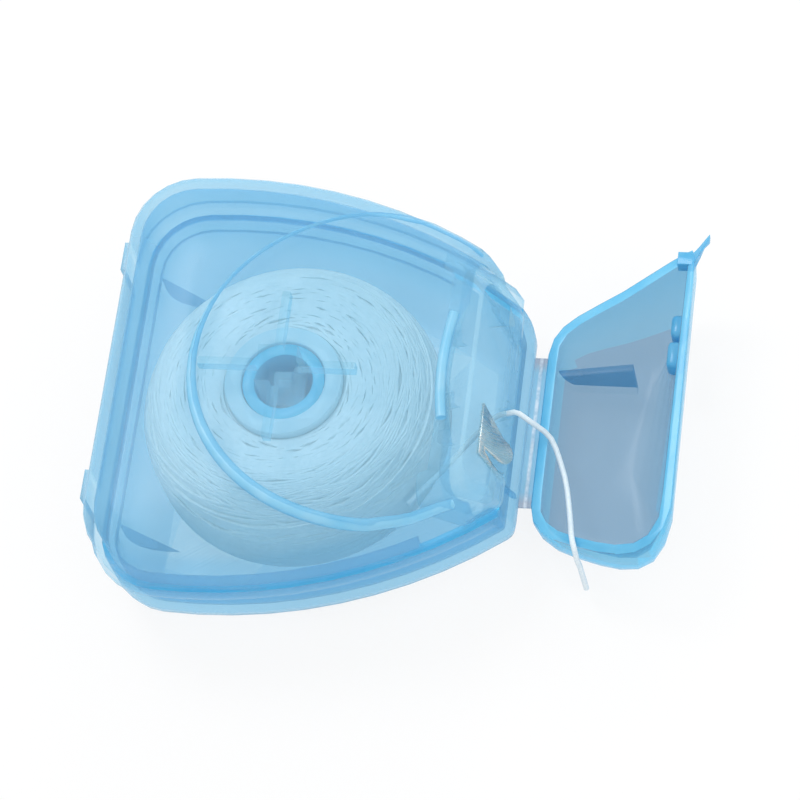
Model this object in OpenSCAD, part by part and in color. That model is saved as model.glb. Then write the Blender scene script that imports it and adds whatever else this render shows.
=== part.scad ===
// Dental floss dispenser: a clear two-part case with a reel on a spindle, an outlet
// insert with a steel cutter, and a flip lid on a living hinge, shown open.
// X runs from the broad base to the lid, Y across, Z up from the rear face.
// The origin is where the reel's axis meets the plane the case lies on.

/* [Case outline] */
// Width across the rim band
case_w = 50.4; // [44:0.1:60]
// Reel axis to the flat base
base_reach = 20.6; // [20.5:0.1:26]
// Reel axis to the hinge end
end_reach = 27.6; // [26.5:0.1:33]
// How far behind the reel axis the case is widest
widest_back = 9; // [6:0.5:12]
// Radius of the curved sides
side_r = 60; // [54:1:70]
// Radius of the base corners
corner_r = 8; // [6:0.5:10]
// Radius of the corners beside the hinge
nose_r = 3; // [2.6:0.1:4]

/* [Case section] */
// Height of the parting line above the rear face
parting_z = 10.5; // [9:0.1:13]
// Height of the front face at its rounded edge
front_z = 21.2; // [20.8:0.1:26]
// Rise of the front face from its edge to its middle
dome_rise = 0.6; // [0.3:0.1:1.2]
// Wall thickness of both shells
wall = 1.2; // [0.9:0.05:1.5]
// Rounding of the front face's edge
front_edge_r = 4; // [3:0.1:5]
// Rounding of the rear face's edge
rear_edge_r = 5; // [4:0.1:5.6]
// Height of the rim band above the parting line
rim_h = 1.8; // [1:0.1:2.5]
// How far the rim band stands out of the front shell
rim_proud = 0.35; // [0.2:0.05:0.6]
// How far the rear shell lies inside the rim band
rear_inset = 0.9; // [0.6:0.05:1.2]
// Rise of the oval field on the front face
oval_rise = 0.5; // [0.3:0.05:0.8]
// Middle of the oval field along the case
oval_x = 12.2; // [10:0.1:14]
// Half length of the oval field
oval_a = 21.6; // [19:0.1:23]
// Half width of the oval field
oval_b = 19.4; // [17:0.1:21]

/* [Reel] */
// Spindle radius
spindle_r = 4.75; // [4:0.05:5.5]
// Running clearance of the reel on its spindle
spindle_gap = 0.09; // [0.05:0.01:0.1]
// Radius of the reel's core
core_r = 6.8; // [6.4:0.1:8]
// Height of the seat that carries the reel above the rear floor
seat_h = 0.9; // [0.5:0.1:1.5]
// Length of the reel's core
core_h = 14; // [11:0.5:14.5]
// Radius of the plain part of the winding
wind_r = 17.3; // [14:0.1:17.5]
// Height of the winding
wind_h = 12.6; // [10:0.2:13]
// Diameter of the floss
floss_d = 0.66; // [0.55:0.01:0.7]
// Number of turns in the outer layer
wind_turns = 10; // [7:1:10]
// Rise of the outer layer with each turn
wind_pitch = 1.1; // [1.08:0.01:1.15]

/* [Outlet] */
// How far the outlet deck lies behind the plane that the lid closes on
deck_depth = 1.5; // [1:0.1:2]
// Thickness of the outlet insert
insert_t = 1.1; // [0.9:0.1:1.4]
// How far the collar stands past the plane that the lid closes on
collar_h = 0.8; // [0.6:0.1:1]
// Clearance of the insert in the shells
insert_gap = 0.15; // [0.1:0.05:0.2]
// Radius of the hole that the floss leaves by
exit_r = 0.75; // [0.6:0.05:1]
// Thickness of the steel cutter
cutter_t = 0.3; // [0.2:0.05:0.4]

/* [Lid] */
// Height of the hinge axis
hinge_z = 6; // [5:0.1:7]
// Hinge axis beyond the end of the case
hinge_off = 0.35; // [0.3:0.05:0.6]
// Length of the hinge web
hinge_w = 19; // [15:0.5:20]
// Thickness of the hinge web
web_t = 0.3; // [0.2:0.05:0.4]
// How far the closed lid's rim reaches past the front face
lid_over = 1.27; // [1:0.01:2]
// How far the open lid's rim slopes up from the hinge
lid_tilt = 22; // [18:1:26]
// Slope of the plane that the closed lid's rim lies on
close_slope = 65.3; // [64:0.1:67]
// Wall thickness of the lid
lid_wall = 1.2; // [0.9:0.05:1.4]
// Height of the open lid's underside above the rear face
lid_floor = 0.35; // [0.3:0.05:0.6]
// How far the lid's walls turn in at the foot, as a share of their height
lid_turn_in = 0.5; // [0.4:0.01:0.6]
// How much of the walls' height is rounded, as a share of it
lid_round = 0.85; // [0.7:0.01:0.9]
// Thickness of the fin inside the lid
fin_t = 0.9; // [0.7:0.1:1.2]
// Reach of the fin from the hinge wall
fin_l = 9; // [7:0.1:11]
// Place of the fin across the lid
fin_y = 7.6; // [6:0.1:10]
// How far the fin's tip lies under the rim's slope
fin_drop = 1.4; // [0:0.1:3]

/* [Hidden] */
// Clearance between pieces on different bodies
move_gap = 0.3;
// Play of the reel above its seat
seat_play = 0.05;
// Steps on each corner, each side and each nose arc of an outline
corner_steps = 6;
side_steps = 10;
nose_steps = 3;
// Steps on each rounded edge
edge_steps = 4;
// Sizes of the rings on the raised middle, beside the edge's last ring
dome_steps = [0.7, 0.35];
// Smallest radius that an inset corner keeps
least_r = 0.4;
// Longer than the whole case, for cutting bodies
big = 80;
side_cx = -widest_back;
side_cy = case_w / 2 - side_r;
front_inset = rim_proud;
front_inner = rim_proud + wall;
rear_inner = rear_inset + wall;
floor_z = wall;
hinge_x = end_reach + hinge_off;
seat_z = floor_z + seat_h;
reel_z = seat_z + seat_play;
core_top = reel_z + core_h;
wind_z = reel_z + (core_h - wind_h) / 2;
core_bore_r = spindle_r + spindle_gap;
ceiling_z = front_z - wall;
lid_l = (front_z - hinge_z) / sin(close_slope) + lid_over;

// Colours as the object shows them
clear_blue = [0.55, 0.78, 0.93, 0.55];
deep_blue = [0.36, 0.70, 0.90, 0.75];
pale_blue = [0.68, 0.84, 0.94, 0.70];
web_pink = [0.74, 0.66, 0.76, 0.60];
steel = [0.72, 0.72, 0.73];
floss_white = [0.90, 0.95, 0.96];

// Outline of the case in plan, moved inwards by a distance

function arc(c, r, a0, a1, steps) =
    [for (i = [0:steps]) c + r * [cos(a0 + (a1 - a0) * i / steps), sin(a0 + (a1 - a0) * i / steps)]];

function case_half(inset) =
    let (
        rs = side_r - inset,
        rc = max(corner_r - inset, least_r),
        rn = max(nose_r - inset, least_r),
        xc = -base_reach + inset + rc,
        xn = end_reach - inset - rn,
        yc = side_cy + sqrt(pow(rs - rc, 2) - pow(xc - side_cx, 2)),
        yn = side_cy + sqrt(pow(rs - rn, 2) - pow(xn - side_cx, 2)),
        a1 = atan2(yc - side_cy, xc - side_cx),
        a2 = atan2(yn - side_cy, xn - side_cx)
    )
    concat(
        arc([xc, yc], rc, 180, a1, corner_steps),
        arc([side_cx, side_cy], rs, a1, a2, side_steps),
        arc([xn, yn], rn, a2, 0, nose_steps)
    );

function mirrored(half) =
    concat(half, [for (i = [len(half) - 1:-1:0]) [half[i][0], -half[i][1]]]);

function ring(pts, z) = [for (p = pts) [p[0], p[1], z]];

// Faces that join rings of equal length into one closed skin, the first ring lowest
function skin_faces(n, rings) =
    concat(
        [[for (i = [n - 1:-1:0]) i]],
        [for (k = [0:rings - 2], i = [0:n - 1]) each [
            [k * n + i, (k + 1) * n + (i + 1) % n, (k + 1) * n + i],
            [k * n + i, k * n + (i + 1) % n, (k + 1) * n + (i + 1) % n]
        ]],
        [[for (i = [0:n - 1]) (rings - 1) * n + i]]
    );

module skin(rings) {
    n = len(rings[0]);
    polyhedron(points = [for (r = rings) each r], faces = skin_faces(n, len(rings)), convexity = 8);
}

function drop_doubles(half) =
    concat([half[0]], [for (i = [1:len(half) - 1]) if (norm(half[i] - half[i - 1]) > 0.0001) half[i]]);

function plan(inset) = mirrored(drop_doubles(case_half(inset)));

// Rings of a rounded edge that turns in at its top
function edge_up(inset, z0, r) =
    [for (k = [0:edge_steps]) let (a = 90 * k / edge_steps)
        ring(plan(inset + r * (1 - cos(a))), z0 + r * sin(a))];

// Rings of a rounded edge that turns in at its foot
function edge_down(inset, z0, r) =
    [for (k = [edge_steps:-1:0]) let (a = 90 * k / edge_steps)
        ring(plan(inset + r * (1 - cos(a))), z0 - r * sin(a))];

// Rings that carry a face on to its slightly raised middle
function dome(inset, z, rise) =
    [for (s = dome_steps) [for (p = plan(inset)) [p[0] * s, p[1] * s, z + rise * (1 - s * s)]]];

// The body of the front shell's outside or inside
module front_form(inset, edge_r, top_z, from_z, rise) {
    skin(concat([ring(plan(inset), from_z)], edge_up(inset, top_z - edge_r, edge_r),
        dome(inset + edge_r, top_z, rise)));
}

// The body of the rear shell's outside or inside
module rear_form(inset, edge_r, low_z, to_z) {
    skin(concat(edge_down(inset, low_z + edge_r, edge_r), [ring(plan(inset), to_z)]));
}

// Places a child on the plane that the closed lid's rim lies on: its x runs down
// the slope to the hinge axis, its z stands out of the case
module on_close_plane() {
    translate([hinge_x, 0, hinge_z])
        rotate([0, close_slope, 0])
            children();
}

// All that lies past a plane parallel to the closing plane
module past_plane(depth) {
    on_close_plane()
        translate([-big, -big / 2, -depth])
            cube([2 * big, big, big]);
}

// Front shell

scoop_r = 34;
scoop_x = 20;
post_w = 4.5;
post_hole = 2;
post_depth = 2.2;
rib_half = 9.1;
rib_w = 0.9;
rib_h = 1;
pad_y = 14.6;
pad_w = 3.6;
pad_out = 0.3;
oval_steps = 40;
oval = [for (i = [0:oval_steps - 1])
    [oval_x + oval_a * cos(360 * i / oval_steps), oval_b * sin(360 * i / oval_steps)]];

module oval_field() {
    intersection() {
        front_form(front_inset, front_edge_r, front_z + oval_rise, parting_z + rim_h, dome_rise);
        translate([0, 0, parting_z + rim_h])
            linear_extrude(front_z)
                polygon(oval);
    }
}

module rim_band() {
    skin([ring(plan(0), parting_z), ring(plan(0), parting_z + rim_h)]);
}

// Low pads on the base wall that the case can stand on
module base_pads(x, z0, z1) {
    for (s = [-1, 1])
        translate([x - pad_out, s * pad_y - pad_w / 2, z0])
            cube([pad_out + wall / 2, pad_w, z1 - z0]);
}

module front_hub() {
    translate([-rib_half, -rib_w / 2, ceiling_z - rib_h])
        cube([2 * rib_half, rib_w, rib_h + wall / 2]);
    translate([-rib_w / 2, -rib_half, ceiling_z - rib_h])
        cube([rib_w, 2 * rib_half, rib_h + wall / 2]);
    translate([-post_w / 2, -post_w / 2, core_top - post_depth])
        cube([post_w, post_w, ceiling_z - core_top + post_depth + wall / 2]);
}

module front_shell() {
    color(clear_blue)
    difference() {
        union() {
            difference() {
                union() {
                    front_form(front_inset, front_edge_r, front_z, parting_z, dome_rise);
                    oval_field();
                    rim_band();
                    base_pads(-base_reach, parting_z, front_z - front_edge_r);
                }
                front_form(front_inner, front_edge_r - wall, ceiling_z, parting_z - 1, dome_rise);
            }
            front_hub();
        }
        past_plane(move_gap);
        translate([scoop_x + scoop_r, 0, parting_z + rim_h])
            cylinder(h = front_z, r = scoop_r, $fn = 96);
        translate([-post_hole / 2, -post_hole / 2, core_top - post_depth - 1])
            cube([post_hole, post_hole, post_depth + 1]);
    }
}

// Rear shell

lip_gap = 0.15;
lip_t = 0.75;
lip_h = 1.3;
lip_foot = 1.5;
lip_end_x = 17;
spindle_bore_r = 3.4;
spindle_drop = 0.4;
seat_r = 6.4;
gusset_l = 5;
gusset_back = 2.2;
gusset_t = 1;
gusset_x = -17.2;
gusset_y = 16;
mouth_sill = 0.4;

module rear_lip() {
    inset = front_inner + lip_gap;
    difference() {
        skin([ring(plan(inset), parting_z - lip_foot), ring(plan(inset), parting_z + lip_h)]);
        skin([ring(plan(inset + lip_t), parting_z - 2 * lip_foot),
            ring(plan(inset + lip_t), parting_z + 2 * lip_h)]);
        translate([lip_end_x, -case_w / 2, 0])
            cube([case_w, case_w, front_z]);
    }
}

// Triangular webs that stiffen the base corners
module corner_gusset(side) {
    translate([gusset_x, side * gusset_y + gusset_t / 2, floor_z / 2])
        rotate([90, 0, 0])
            linear_extrude(gusset_t)
                polygon([[-gusset_back, 0], [gusset_l, 0], [-gusset_back, parting_z - floor_z]]);
}

module rear_shell() {
    color(clear_blue)
    difference() {
        union() {
            difference() {
                rear_form(rear_inset, rear_edge_r, 0, parting_z);
                rear_form(rear_inner, rear_edge_r - wall, floor_z, parting_z + 1);
            }
            rear_lip();
            intersection() {
                for (s = [-1, 1])
                    corner_gusset(s);
                rear_form(rear_inset + wall / 2, rear_edge_r - wall / 2, floor_z / 2, parting_z);
            }
            translate([0, 0, floor_z / 2])
                cylinder(h = seat_z - floor_z / 2, r = seat_r, $fn = 64);
            translate([0, 0, floor_z / 2])
                cylinder(h = core_top - spindle_drop - floor_z / 2, r = spindle_r, $fn = 64);
        }
        past_plane(move_gap);
        intersection() {
            collar_mouth();
            translate([0, -case_w / 2, hinge_z + mouth_sill])
                cube([2 * end_reach, case_w, front_z]);
        }
        translate([0, 0, floor_z])
            cylinder(h = front_z, r = spindle_bore_r, $fn = 64);
    }
}

// Outlet insert: a sloping deck with a collar that the lid closes over

guide_n = 1.1;
mouth_u = -11.4;
mouth_half = 9;
// Where the deck meets the rear shell's end wall, as a distance along the slope
deck_end_u = (end_reach - rear_inner - hinge_x + deck_depth * sin(close_slope)) / cos(close_slope);
exit_u = deck_end_u - 1.8;
exit_y = 0.2;
lug_w = 1.4;
lug_l = 1.6;
lug_u = -13.2;
lug_places = [-6.2, -1.6, 6.2];
collar_root = 1;
eye_wall = 0.7;
eye_h = 0.5;
seat_recess = 0.1;
insert_low = rear_inner + insert_gap;
insert_high = front_inner + insert_gap;
insert_edge_r = front_edge_r - wall;
insert_foot_r = rear_edge_r - wall - insert_gap;
// Corners of the steel plate on the deck, down the slope from the deck's lower edge and across
cutter_pts = [for (p = [[-6.5, -0.6], [-0.1, -3.9], [-1.4, -8], [-6.4, -6.8]]) [p[0] + deck_end_u, p[1]]];
guide_pts = [[-9.9, 8.6], [-7.4, 9.8], [-3.2, 8.3], [-1.9, 7.1], [-4.4, 5.3]];

module insert_form(more) {
    skin(concat(
        edge_down(insert_low + more, floor_z + insert_gap + insert_foot_r, insert_foot_r),
        [ring(plan(insert_low + more), parting_z + insert_gap),
         ring(plan(insert_high + more), parting_z + 2 * insert_gap)],
        edge_up(insert_high + more, ceiling_z - insert_gap - insert_edge_r, insert_edge_r)));
}

module insert_collar() {
    intersection() {
        difference() {
            insert_form(0);
            insert_form(insert_t);
        }
        on_close_plane()
            translate([-big / 2, -big / 2, -deck_depth - insert_t - collar_root])
                cube([big, big, deck_depth + insert_t + collar_root + collar_h]);
        translate([0, -big / 2, 0])
            cube(big);
    }
}

// Where the collar is left open so that the floss runs out over the deck's lower edge
module collar_mouth() {
    on_close_plane()
        translate([mouth_u, -mouth_half, -deck_depth])
            cube([big, 2 * mouth_half, big]);
}

module insert_deck() {
    intersection() {
        insert_form(0);
        on_close_plane()
            translate([-big / 2, -big / 2, -deck_depth - insert_t])
                cube([big, big, insert_t]);
    }
}

module guide_rib() {
    intersection() {
        insert_form(0);
        on_close_plane()
            translate([0, 0, -deck_depth - insert_t / 2])
                linear_extrude(insert_t / 2 + guide_n)
                    polygon(guide_pts);
    }
}

module exit_eye() {
    on_close_plane()
        translate([exit_u, exit_y, -deck_depth - insert_t])
            cylinder(h = insert_t + eye_h, r = exit_r + eye_wall, $fn = 40);
}

// Lugs behind the upper edge that snap under the front shell
module snap_lugs() {
    for (y = lug_places)
        on_close_plane()
            translate([lug_u, y - lug_w / 2, -deck_depth - insert_t - lug_l])
                cube([lug_w, lug_w, lug_l + insert_t / 2]);
}

module outlet_insert() {
    color(pale_blue)
    difference() {
        union() {
            difference() {
                insert_collar();
                collar_mouth();
            }
            insert_deck();
            guide_rib();
            exit_eye();
            snap_lugs();
        }
        on_close_plane()
            translate([exit_u, exit_y, -deck_depth - insert_t - collar_root])
                cylinder(h = deck_depth + insert_t + 2 * collar_root, r = exit_r, $fn = 40);
        on_close_plane()
            translate([0, 0, -deck_depth - seat_recess])
                linear_extrude(deck_depth + collar_h)
                    offset(delta = seat_recess)
                        polygon(cutter_pts);
    }
}

// Steel cutter: a plate with a tongue cut from it and bent up

tongue_w = 3;
tongue_u = deck_end_u - 4.6;
tongue_y = -4.4;
tongue_lift = 0.15;
tongue_l = 4.2;
tongue_rise = 16;
tongue_turn = -20;
slot_extra = 0.35;

module tongue_outline(grow) {
    hull() {
        translate([0, -tongue_w / 2 - grow])
            square([slot_extra, tongue_w + 2 * grow]);
        translate([tongue_l - tongue_w / 2, 0])
            circle(r = tongue_w / 2 + grow, $fn = 40);
    }
}

module cutter() {
    color(steel)
    on_close_plane()
        translate([0, 0, -deck_depth - seat_recess]) {
            linear_extrude(cutter_t)
                difference() {
                    polygon(cutter_pts);
                    translate([tongue_u, tongue_y])
                        rotate(tongue_turn)
                            tongue_outline(slot_extra);
                }
            translate([tongue_u, tongue_y, tongue_lift])
                rotate([0, 0, tongue_turn])
                    rotate([0, -tongue_rise, 0])
                        translate([-1.5 * slot_extra, 0, 0])
                            linear_extrude(cutter_t)
                                tongue_outline(0);
        }
}

// Lid, open beside the case

lid_slope = tan(lid_tilt);
lid_table_l = 18;
lid_table_w = 50.4;
lid_wider = (case_w - lid_table_w) / 2;
lid_steps = 6;
// Half widths of the lid's rim at set distances from the hinge, near side and far side
lid_near = [[0, 9.6], [0.5, 11.6], [1.6, 13], [3.4, 14.3], [6, 15.4], [9, 16.4], [11.6, 17],
            [14, 17], [15.9, 16.2], [17.3, 14.4], [18, 12]];
lid_far = [[0, 9.6], [0.5, 11.6], [1.6, 13], [3.4, 14.1], [6, 15.2], [9, 16.4], [12, 17.9],
           [14.6, 19.2], [16.6, 20.1], [17.6, 20.4], [18, 19.4]];

// The tables hold for one rim length and one case width, and stretch with them
function lid_at(p, side) =
    [hinge_x + hinge_off + p[0] / lid_table_l * lid_l * cos(lid_tilt), side * (p[1] + lid_wider)];

function lid_plan() = concat(
    [for (p = lid_near) lid_at(p, -1)],
    [for (i = [len(lid_far) - 1:-1:0]) lid_at(lid_far[i], 1)]);

// Plan moved inwards, each point by its own distance along its ray to the middle of the lid
lid_mid = [hinge_x + lid_l / 2, 0];
least_slant = 0.55;

function inward(pts, by) =
    let (n = len(pts))
    [for (i = [0:n - 1])
        let (
            along = pts[(i + 1) % n] - pts[(i + n - 1) % n],
            outward = [along[1], -along[0]] / norm(along),
            ray = (pts[i] - lid_mid) / norm(pts[i] - lid_mid)
        )
        pts[i] - ray * by[i] / max(least_slant, outward * ray)];

function rim_z(x) = hinge_z + (x - hinge_x) * lid_slope;

// The top ring of a lid form lies on the sloping rim, the others on its rounded walls
function lid_rings(inset, low_z, over) =
    let (rim = lid_plan())
    concat(
        [for (k = [lid_steps:-1:0])
            let (
                a = 90 * k / lid_steps,
                moved = inward(rim, [for (p = rim) inset + lid_turn_in * (rim_z(p[0]) - low_z) * (1 - cos(a))])
            )
            [for (i = [0:len(rim) - 1])
                [moved[i][0], moved[i][1], low_z + lid_round * (rim_z(rim[i][0]) - low_z) * (1 - sin(a))]]],
        [[for (p = inward(rim, [for (q = rim) inset])) [p[0], p[1], rim_z(p[0]) + over]]]
    );

module lid_skin(inset, low_z, over) {
    rings = lid_rings(inset, low_z, over);
    n = len(rings[0]);
    last = (len(rings) - 1) * n;
    mid = len(rings) * n;
    mid_x = hinge_x + lid_l / 2;
    polyhedron(
        points = concat([for (k = rings) each k],
            [[mid_x, 0, low_z], [mid_x, 0, rim_z(mid_x) + over]]),
        faces = concat(
            [for (i = [0:n - 1]) [mid, i, (i + 1) % n]],
            [for (k = [0:len(rings) - 2], i = [0:n - 1]) each [
                [k * n + i, (k + 1) * n + i, (k + 1) * n + (i + 1) % n],
                [k * n + i, (k + 1) * n + (i + 1) % n, k * n + (i + 1) % n]
            ]],
            [for (i = [0:n - 1]) [mid + 1, last + (i + 1) % n, last + i]]
        ), convexity = 8);
}

module lid_fin() {
    tip_x = hinge_x + hinge_off + lid_wall + fin_l;
    drop = (collar_h + move_gap) / cos(lid_tilt);
    intersection() {
        translate([0, fin_y + fin_t / 2, 0])
            rotate([90, 0, 0])
                linear_extrude(fin_t)
                    polygon([[hinge_x, 0], [hinge_x, rim_z(hinge_x) - drop],
                        [tip_x, rim_z(tip_x) - drop - fin_drop], [tip_x, 0]]);
        lid_skin(lid_wall / 2, lid_floor + lid_wall / 2, lid_wall);
    }
}

module lid() {
    color(clear_blue) {
        difference() {
            lid_skin(0, lid_floor, 0);
            lid_skin(lid_wall, lid_floor + lid_wall, lid_wall);
        }
        lid_fin();
    }
}

// Living hinge web, from the rear shell's end wall to the lid's hinge wall

web_play = 0.02;
web_drop = 1;

module living_hinge() {
    top_z = hinge_z - web_drop + web_t;
    below = max(0, rear_edge_r - top_z);
    x0 = end_reach - rear_inset - rear_edge_r + sqrt(pow(rear_edge_r, 2) - pow(below, 2)) + web_play;
    x1 = hinge_x + hinge_off - web_play;
    color(web_pink)
    translate([x0, -hinge_w / 2, hinge_z - web_drop])
        cube([x1 - x0, hinge_w, web_t]);
}

// Reel: a core with the floss wound on it

module spool_core() {
    color(pale_blue)
    translate([0, 0, reel_z])
        difference() {
            cylinder(h = core_h, r = core_r, $fn = 72);
            translate([0, 0, -1])
                cylinder(h = core_h + 2, r = core_bore_r, $fn = 72);
        }
}

// Tube swept along points: each ring is square to the route there

function unit(v) = v / norm(v);

function heading(pts, i) =
    i == 0 ? unit(pts[1] - pts[0]) :
    i == len(pts) - 1 ? unit(pts[i] - pts[i - 1]) :
    unit(unit(pts[i + 1] - pts[i]) + unit(pts[i] - pts[i - 1]));

function tube_ring(c, t, side, r, n) =
    let (
        e1 = unit(side - (side * t) * t),
        e2 = cross(t, e1)
    )
    [for (k = [0:n - 1]) c + r * (cos(360 * k / n) * e1 + sin(360 * k / n) * e2)];

// The sides of the rings line up with one direction, or with the ray from the Z axis
module tube(pts, r, n, side) {
    rings = [for (i = [0:len(pts) - 1])
        tube_ring(pts[i], heading(pts, i), is_undef(side) ? [pts[i][0], pts[i][1], 0] : side, r, n)];
    last = (len(pts) - 1) * n;
    polyhedron(
        points = [for (g = rings) each g],
        faces = concat(
            [[for (k = [0:n - 1]) k]],
            [for (i = [0:len(pts) - 2], k = [0:n - 1]) each [
                [i * n + k, (i + 1) * n + k, (i + 1) * n + (k + 1) % n],
                [i * n + k, (i + 1) * n + (k + 1) % n, i * n + (k + 1) % n]
            ]],
            [[for (k = [n - 1:-1:0]) last + k]]
        ), convexity = 8);
}

// Outer layer of the winding: one helix, its ends running on straight for a diameter

turn_steps = 24;
wind_sides = 6;
wind_sink = 0.12;
wind_lift = 1.1;
wind_path_r = wind_r + floss_d / 2 - wind_sink;
wind_start_z = wind_z + wind_lift;

function helix_at(i) =
    let (a = 360 * i / turn_steps)
    [wind_path_r * cos(a), wind_path_r * sin(a), wind_start_z + wind_pitch * i / turn_steps];

helix_last = wind_turns * turn_steps;
helix = [for (i = [0:helix_last]) helix_at(i)];
wind_route = concat(
    [helix[0] - floss_d * unit(helix[1] - helix[0])],
    helix,
    [helix[helix_last] + floss_d * unit(helix[helix_last] - helix[helix_last - 1])]);
near_steps = 3;
wind_gap = min([for (i = [0:helix_last - turn_steps], k = [turn_steps - near_steps:turn_steps + near_steps])
    if (i + k <= helix_last) norm(helix[i + k] - helix[i])]) - floss_d;
echo(wind_least_gap_mm = wind_gap);

module floss_winding() {
    color(floss_white) {
        translate([0, 0, wind_z])
            difference() {
                cylinder(h = wind_h, r = wind_r, $fn = 96);
                translate([0, 0, -1])
                    cylinder(h = wind_h + 2, r = core_r, $fn = 72);
            }
        tube(wind_route, floss_d / 2, wind_sides);
    }
}

// Stretch from the winding to the exit hole

cord_sides = 8;
cord_side = [1, 1, 0];
lead_route = [[14.7, -11.3, 8.6], [16.3, -9.2, 8.6], [17.9, -7.3, 8.6], [19.4, -5.2, 8.6], [20.9, -3.1, 8.6],
    [22, -1.6, 8.6], [22.8, -0.6, 8.6], [23.4, -0.1, 8.8], [24, 0.2, 9], [24.6, 0.2, 9.3], [25.2, 0.2, 9.6]];

module floss_lead() {
    color(floss_white)
        tube(lead_route, floss_d / 2, cord_sides, cord_side);
}

// Free end of the floss: over the hinge, across the lid, over its rim and down

tail_route = [[25.2, 0.2, 9.6], [25.8, 0.2, 9.9], [26.4, 0, 10], [27.1, -0.4, 9.8], [27.8, -0.7, 9.3],
    [28.5, -0.9, 8.6], [29.2, -1.1, 7.8], [29.9, -1.6, 7.1], [30.5, -2.6, 6.5], [31.1, -4, 6],
    [31.7, -5.6, 5.7], [32.2, -7.4, 5.7], [32.6, -9.2, 6.1], [33, -11, 6.9], [33.4, -12.8, 8],
    [33.7, -14.2, 9], [34, -15.3, 9.4], [34.3, -16.2, 9.1], [34.5, -16.8, 8], [34.7, -17, 6.5],
    [34.8, -17.2, 5], [34.9, -17.4, 3.5], [35, -17.6, 1.9]];

module floss_tail() {
    color(floss_white)
        tube(tail_route, floss_d / 2, cord_sides, cord_side);
}

front_shell();
rear_shell();
outlet_insert();
cutter();
lid();
living_hinge();
spool_core();
floss_winding();
floss_lead();
floss_tail();
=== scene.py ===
"""Flat dental floss dispenser with an open flip lid: its looks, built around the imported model."""

import math
import random

import bpy
from bpy.props import FloatProperty, FloatVectorProperty, IntProperty, PointerProperty
from mathutils import Matrix, Vector


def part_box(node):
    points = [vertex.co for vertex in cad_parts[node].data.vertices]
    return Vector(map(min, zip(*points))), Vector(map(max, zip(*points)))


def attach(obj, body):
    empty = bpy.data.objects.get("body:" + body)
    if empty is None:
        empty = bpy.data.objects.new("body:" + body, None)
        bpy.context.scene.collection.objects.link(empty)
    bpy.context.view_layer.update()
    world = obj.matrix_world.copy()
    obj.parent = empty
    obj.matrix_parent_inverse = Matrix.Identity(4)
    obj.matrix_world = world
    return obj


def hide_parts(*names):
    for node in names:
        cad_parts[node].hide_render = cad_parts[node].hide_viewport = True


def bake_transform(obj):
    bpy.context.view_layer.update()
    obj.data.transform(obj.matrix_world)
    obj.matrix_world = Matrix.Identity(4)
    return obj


bl_info = {
    "name": "Floss dispenser looks",
    "version": (1, 0, 0),
    "blender": (4, 5, 0),
    "location": "View3D > Sidebar > Dispenser",
    "description": "Builds the visible pieces of a flip-lid floss dispenser",
    "category": "Object",
}

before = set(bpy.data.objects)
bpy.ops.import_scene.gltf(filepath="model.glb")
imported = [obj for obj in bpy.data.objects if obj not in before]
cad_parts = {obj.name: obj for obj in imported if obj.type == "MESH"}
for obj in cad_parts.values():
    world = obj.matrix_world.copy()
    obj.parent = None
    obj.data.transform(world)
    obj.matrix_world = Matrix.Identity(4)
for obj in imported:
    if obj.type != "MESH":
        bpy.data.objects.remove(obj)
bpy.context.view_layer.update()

MM = 0.001

# Angles in degrees: a soft crease, a crease on a strand, an edge that is rounded, and a flat join
CREASE = 32
STRAND_CREASE = 60
SHARP = 38
FLAT_JOIN = 0.08

# Points closer than this are one point, in millimetres
SAME_POINT = 0.002


# Tools for modelling


def pick_none():
    """Leaves edit mode and deselects everything."""
    if bpy.context.object and bpy.context.object.mode != "OBJECT":
        bpy.ops.object.mode_set(mode="OBJECT")
    bpy.ops.object.select_all(action="DESELECT")


def make_active(obj):
    """Selects one object alone and makes it active."""
    pick_none()
    obj.select_set(True)
    bpy.context.view_layer.objects.active = obj


def start_edit(obj, kind="FACE"):
    """Opens an object in edit mode with nothing selected."""
    make_active(obj)
    bpy.ops.object.mode_set(mode="EDIT")
    bpy.ops.mesh.select_mode(type=kind)
    bpy.ops.mesh.select_all(action="DESELECT")


def end_edit():
    """Goes back to object mode."""
    bpy.ops.object.mode_set(mode="OBJECT")


def select_faces(obj, test):
    """Selects the faces whose middle and normal pass a test, in edit mode."""
    bpy.ops.object.mode_set(mode="OBJECT")
    for face in obj.data.polygons:
        face.select = bool(test(face.center, face.normal))
    bpy.ops.object.mode_set(mode="EDIT")


def settle(obj):
    """Puts the object's place, turn and scale into its mesh."""
    make_active(obj)
    bpy.ops.object.transform_apply(location=True, rotation=True, scale=True)


def soften(obj, degrees=CREASE):
    """Shades an object smooth, with creases at the sharper edges."""
    make_active(obj)
    bpy.ops.object.shade_smooth_by_angle(angle=math.radians(degrees))


def apply_modifier(obj, kind, **values):
    """Adds one modifier, sets it and applies it."""
    make_active(obj)
    modifier = obj.modifiers.new(kind.title(), kind)
    for key, value in values.items():
        setattr(modifier, key, value)
    bpy.ops.object.modifier_apply(modifier=modifier.name)


def join(parts, name):
    """Joins objects into the first one."""
    pick_none()
    for part in parts:
        part.select_set(True)
    bpy.context.view_layer.objects.active = parts[0]
    if len(parts) > 1:
        bpy.ops.object.join()
    parts[0].name = name
    parts[0].data.name = name
    return parts[0]


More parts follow.
